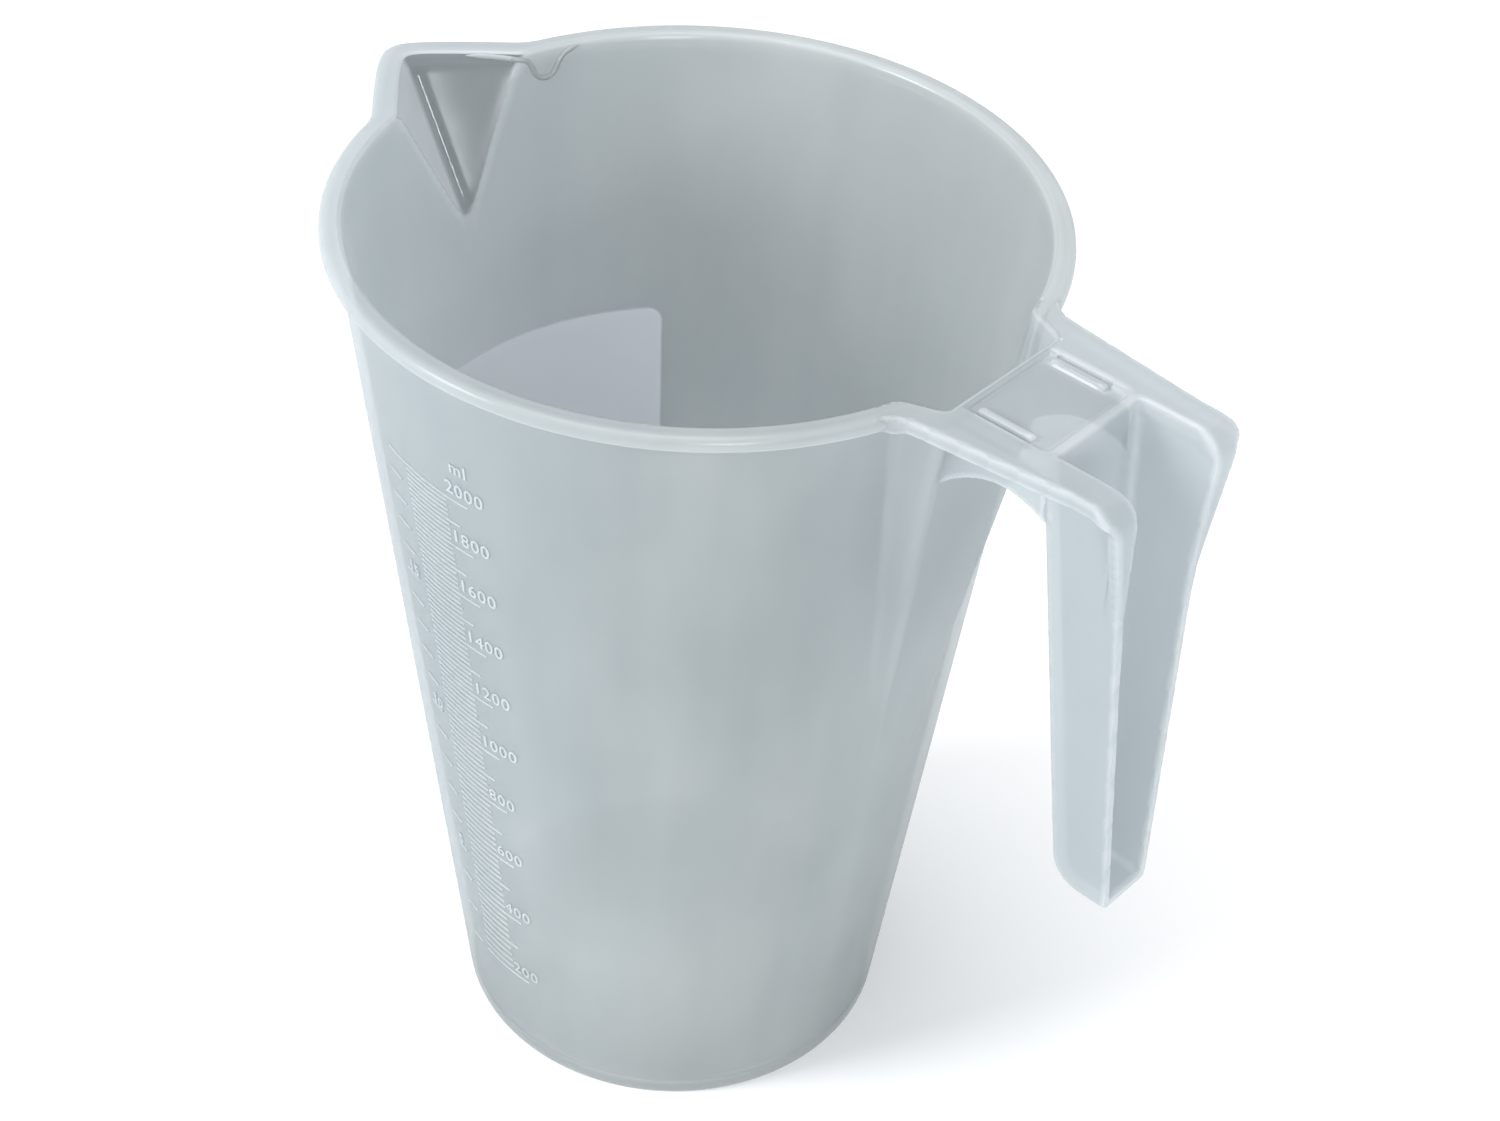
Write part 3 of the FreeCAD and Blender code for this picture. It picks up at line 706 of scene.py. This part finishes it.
def label_behind(n):
    """1 on the inner face where the label backs the wall, with the label's rounded corners.

    The shape is a little higher than the label, because the wall is seen through from above.
    """
    middle = math.radians((LABEL_START + LABEL_END) / 2.0)
    middle_z = LABEL_TOP - LABEL_HEIGHT / 2.0 + LABEL_LIFT
    radius = cone_radius(middle_z) * MM
    corner = LABEL_CORNER * MM
    half_width = math.radians(LABEL_END - LABEL_START) / 2.0 * radius
    half_height = (LABEL_HEIGHT / 2.0 + LABEL_LIFT) * MM
    place = n.add("ShaderNodeTexCoord").outputs["Object"]
    parts = n.add("ShaderNodeSeparateXYZ", Vector=place).outputs
    turned = n.math("ARCTAN2", n.math("MULTIPLY", parts["Y"], -1.0),
                    n.math("MULTIPLY", parts["X"], -1.0))
    across = n.math("MULTIPLY", n.math("ADD", turned, math.pi - middle), radius)
    level = n.math("SUBTRACT", parts["Z"], middle_z * MM)
    squares = []
    for distance, half in ((across, half_width), (level, half_height)):
        over = n.math("SUBTRACT", n.math("ABSOLUTE", distance), half - corner)
        over = n.math("MAXIMUM", over, 0.0)
        squares.append(n.math("MULTIPLY", over, over))
    reach = n.math("SQRT", n.math("ADD", *squares))
    shape = n.add("ShaderNodeMapRange", {"interpolation_type": "SMOOTHSTEP"}, Value=reach,
                  From_Min=corner + 0.0008, From_Max=corner).outputs["Result"]
    return n.math("MULTIPLY", shape, n.math("LESS_THAN", beyond_wall(n), 0.001))


def tinted_by_place(n, colour, place, parts):
    """Painted light and shade by place: cooler as painted cool light towards the near left, lighter
    as painted light on the handle and near the top, and darker as painted shade low down and
    higher up on the inner face.
    """
    painted_cool_light = n.add("ShaderNodeVectorMath", {"operation": "DOT_PRODUCT"}, _0=place,
                 _1=(-0.742, -0.669, 0.0)).outputs["Value"]
    # painted cool light on the side that faces the near left
    colour = n.mix(n.band(painted_cool_light, 0.0, 0.075, 0.5), colour, (0.43, 0.515, 0.56))
    # painted light on the handle
    colour = n.mix(n.band(parts["X"], 0.055, 0.086, 0.65), colour, (0.50, 0.548, 0.575))
    # painted light near the top, on the rim and the arms
    colour = n.mix(n.band(parts["Z"], 0.2150, 0.2185, 0.2), colour, (0.64, 0.645, 0.64))
    # painted shade, darker towards the bottom
    colour = n.mix(n.band(parts["Z"], 0.05, 0.0, 0.4), colour, (0.36, 0.385, 0.385))
    # painted shade on the inner face, darker higher up
    inside = n.math("LESS_THAN", beyond_wall(n), 0.001)
    painted_inside_shade = n.math("MULTIPLY", inside, n.band(parts["Z"], 0.08, 0.20, 0.55))
    return n.mix(painted_inside_shade, colour, (0.33, 0.35, 0.35))


def polished_spout(n, colour, roughness, parts):
    """Painted shade darkens the spout's faces and painted light lightens its near face; its valley is
    glossy.
    """
    spout = in_spout(n)
    # painted shade over the spout's faces
    colour = n.mix(spout, colour, (0.055, 0.062, 0.066))
    # painted light on the spout's near face
    near_face_light = n.math("MULTIPLY", spout, n.band(parts["Y"], -0.0006, -0.0024, 0.8))
    colour = n.mix(near_face_light, colour, (0.55, 0.56, 0.58))
    valley = n.band(n.math("ABSOLUTE", parts["Y"]), 0.0035, 0.0010, 0.75)
    polish = n.math("MULTIPLY", spout, valley)
    return colour, n.math("MULTIPLY", roughness, n.scale(polish, 1.2, 0.2))


def polypropylene(name, dark, light, clear, glow, edge_highlight=0.6, special=None):
    """Milky moulded plastic: cloudy colour that is partly the plastic's own uneven tone and partly
    painted reflection, flow marks, faint scuffs and a soft gloss.

    Clear is the share of light that passes straight through, and glow the share that is spread
    inside. Edges and creases are painted a little whiter, as painted highlights. The special place
    is "label", where the wall is painted whiter in the label's shape, as painted light from the
    paper seen through it, or "spout", with painted shade on its faces, painted light on its near
    face and a more polished valley.
    """
    n = Nodes(name)
    # large soft clouds of colour: partly the plastic's own uneven tone, partly painted reflection of
    # the surroundings
    clouds = n.noise((1.0, 1.0, 0.7), 13.0, 3.0, 0.5)
    flow = n.noise((1.0, 1.0, 0.06), 60.0, 2.0)
    mixed = n.add("ShaderNodeMath", {"operation": "MULTIPLY_ADD"}, _0=flow, _1=0.3,
                  _2=clouds).outputs["Value"]
    colour = n.ramp(mixed, ((0.48, dark), (0.82, light)))
    place = n.add("ShaderNodeTexCoord").outputs["Object"]
    parts = n.add("ShaderNodeSeparateXYZ", Vector=place).outputs
    colour = tinted_by_place(n, colour, place, parts)
    edge = n.add("ShaderNodeNewGeometry").outputs["Pointiness"]
    # painted highlight along convex edges
    colour = n.mix(n.band(edge, 0.506, 0.55, edge_highlight), colour, (0.78, 0.80, 0.80))
    # painted highlight along creases
    colour = n.mix(n.band(edge, 0.492, 0.46, 0.6 * edge_highlight), colour, (0.70, 0.72, 0.73))
    scuffs = n.noise((1.0, 1.0, 1.6), 120.0, 5.0, 0.7)
    roughness = n.scale(scuffs, 0.13, 0.26)
    if special == "label":
        behind = label_behind(n)
        # painted light: the wall is painted whiter in the label's shape, standing in for the paper
        # seen through it
        colour = n.mix(behind, colour, (0.96, 0.965, 1.0))
        clear = n.scale(behind, clear, 0.02)
        glow = n.scale(behind, glow, 0.02)
    if special == "spout":
        colour, roughness = polished_spout(n, colour, roughness, parts)
    fine = n.noise((1.0, 1.0, 1.0), 500.0, 2.0)
    bump = n.add("ShaderNodeBump", Height=fine, Strength=0.05, Distance=0.0002).outputs["Normal"]
    bump = n.add("ShaderNodeBump", Height=flow, Strength=0.10, Distance=0.0008,
                 Normal=bump).outputs["Normal"]
    gloss = n.add("ShaderNodeBsdfPrincipled", Base_Color=colour, Roughness=roughness, Normal=bump,
                  IOR=1.49)
    through = n.add("ShaderNodeBsdfTranslucent", Color=colour, Normal=bump)
    body = n.add("ShaderNodeMixShader", _0=glow, _1=gloss.outputs["BSDF"],
                 _2=through.outputs["BSDF"])
    see = n.add("ShaderNodeBsdfTransparent", Color=(0.95, 0.98, 1.0, 1.0))
    final = n.add("ShaderNodeMixShader", _0=clear, _1=body.outputs["Shader"],
                  _2=see.outputs["BSDF"])
    n.add("ShaderNodeOutputMaterial", Surface=final.outputs["Shader"])
    return n.material


def paper(name):
    """White label paper, with a fine fibre and a slight unevenness of colour."""
    n = Nodes(name)
    cloud = n.noise((1.0, 1.0, 1.0), 60.0, 3.0)
    colour = n.ramp(cloud, ((0.3, (0.76, 0.78, 0.86)), (0.7, (0.82, 0.835, 0.90))))
    fibre = n.noise((1.0, 1.0, 3.0), 1400.0, 3.0, 0.7)
    bump = n.add("ShaderNodeBump", Height=fibre, Strength=0.25, Distance=0.0001).outputs["Normal"]
    rough = n.scale(fibre, 0.55, 0.8)
    gloss = n.add("ShaderNodeBsdfPrincipled", Base_Color=colour, Roughness=rough, Normal=bump)
    n.add("ShaderNodeOutputMaterial", Surface=gloss.outputs["BSDF"])
    return n.material


def studio_floor():
    """Plain, nearly white and dull."""
    n = Nodes("studio_floor")
    cloud = n.noise((1.0, 1.0, 1.0), 3.0)
    colour = n.ramp(cloud, ((0.3, (0.95, 0.95, 0.95)), (0.7, (0.97, 0.97, 0.97))))
    plain = n.add("ShaderNodeBsdfPrincipled", Base_Color=colour, Roughness=0.9)
    n.add("ShaderNodeOutputMaterial", Surface=plain.outputs["BSDF"])
    return n.material


# ---------------------------------------------------------------- studio
def make_floor():
    reach = 4000.0
    corners = [(-reach, -reach, 0.0), (reach, -reach, 0.0), (reach, reach, 0.0),
               (-reach, reach, 0.0)]
    floor = make_object("studio_floor", corners, [(0, 1, 2, 3)], studio_floor())


def area_light(name, place, aim, size, power, colour=(1.0, 1.0, 1.0)):
    light = bpy.data.lights.new(name, "AREA")
    light.shape = "DISK"
    light.size = size
    light.energy = power
    light.color = colour
    thing = bpy.data.objects.new(name, light)
    thing.location = Vector(place)
    thing.rotation_euler = (Vector(aim) - Vector(place)).to_track_quat("-Z", "Y").to_euler()
    bpy.context.scene.collection.objects.link(thing)


def make_lights():
    world = bpy.data.worlds.new("studio")
    world.use_nodes = True
    sky = world.node_tree.nodes["Background"]
    sky.inputs["Color"].default_value = (0.96, 0.98, 1.0, 1.0)
    sky.inputs["Strength"].default_value = 0.56
    bpy.context.scene.world = world
    middle = (0.0, 0.0, 0.12)
    area_light("key", (-0.65, -1.15, 0.8), middle, 0.6, 18.0)
    area_light("top", (-0.2, 0.0, 1.5), middle, 0.8, 9.0)
    area_light("side", (1.0, -0.75, 0.45), middle, 0.4, 7.0, (0.95, 0.98, 1.0))
    area_light("spark", (1.05, 0.3, 0.6), (-0.078, 0.0, 0.2), 0.14, 2.4)


def make_camera():
    """Camera at about 650 mm from the jug, looking down at it by about 40 degrees."""
    camera = bpy.data.cameras.new("camera")
    camera.sensor_fit = "HORIZONTAL"
    camera.sensor_width = 36.0
    camera.lens = 68.77
    camera.clip_start = 0.05
    thing = bpy.data.objects.new("camera", camera)
    forward = Vector((-0.49336, 0.58962, -0.63949)).normalized()
    right = Vector((0.74237, 0.66856, 0.04369))
    right = (right - right.dot(forward) * forward).normalized()
    up = right.cross(forward)
    turn = Matrix((right, up, -forward)).transposed().to_4x4()
    thing.matrix_world = Matrix.Translation((0.33199, -0.37414, 0.54199)) @ turn
    bpy.context.scene.collection.objects.link(thing)
    bpy.context.scene.camera = thing


# ---------------------------------------------------------------- the scene
milky = (0.395, 0.432, 0.437), (0.535, 0.562, 0.56)
plastic = polypropylene("milky_polypropylene", *milky, 0.34, 0.36, special="label")
# this material gives the spout's inner faces painted shade and painted light
painted_spout_plastic = polypropylene("spout_polypropylene", *milky, 0.34, 0.36, special="spout")
# The raised marks are the same plastic, painted lighter as painted light on the relief.
raised = polypropylene("raised_polypropylene", (0.63, 0.665, 0.675), (0.71, 0.735, 0.74), 0.12,
                       0.36, edge_highlight=0.25)

moulding = make_moulding(plastic, painted_spout_plastic)
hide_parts("jug_wall", "base_floor", "foot_ring", "pouring_spout", "handle_bay",
            "rim_bead", "handle_arm_left", "handle_arm_right", "side_flange_left",
            "side_flange_right", "handle_cheek_left", "handle_cheek_right",
            "bridge_skirt_left", "bridge_skirt_right", "handle_web", "handle_toe",
            "bridge_plate", "stacking_ribs")
lines = make_marks("scale_lines", raised, main_scale)
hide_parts("graduation_lines")
figures = make_marks("scale_figures", raised, main_figures)
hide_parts("graduation_numerals")
second = make_marks("side_scale", raised, side_scale)
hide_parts("second_scale")
tab = make_tab(raised)
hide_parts("rim_tongue")
label = make_label(paper("label_paper"))
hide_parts("label")

for piece in (moulding, lines, figures, second, tab):
    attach(piece, "root")
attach(label, "root")

make_floor()
make_lights()
make_camera()
bpy.context.scene.view_settings.view_transform = "Standard"
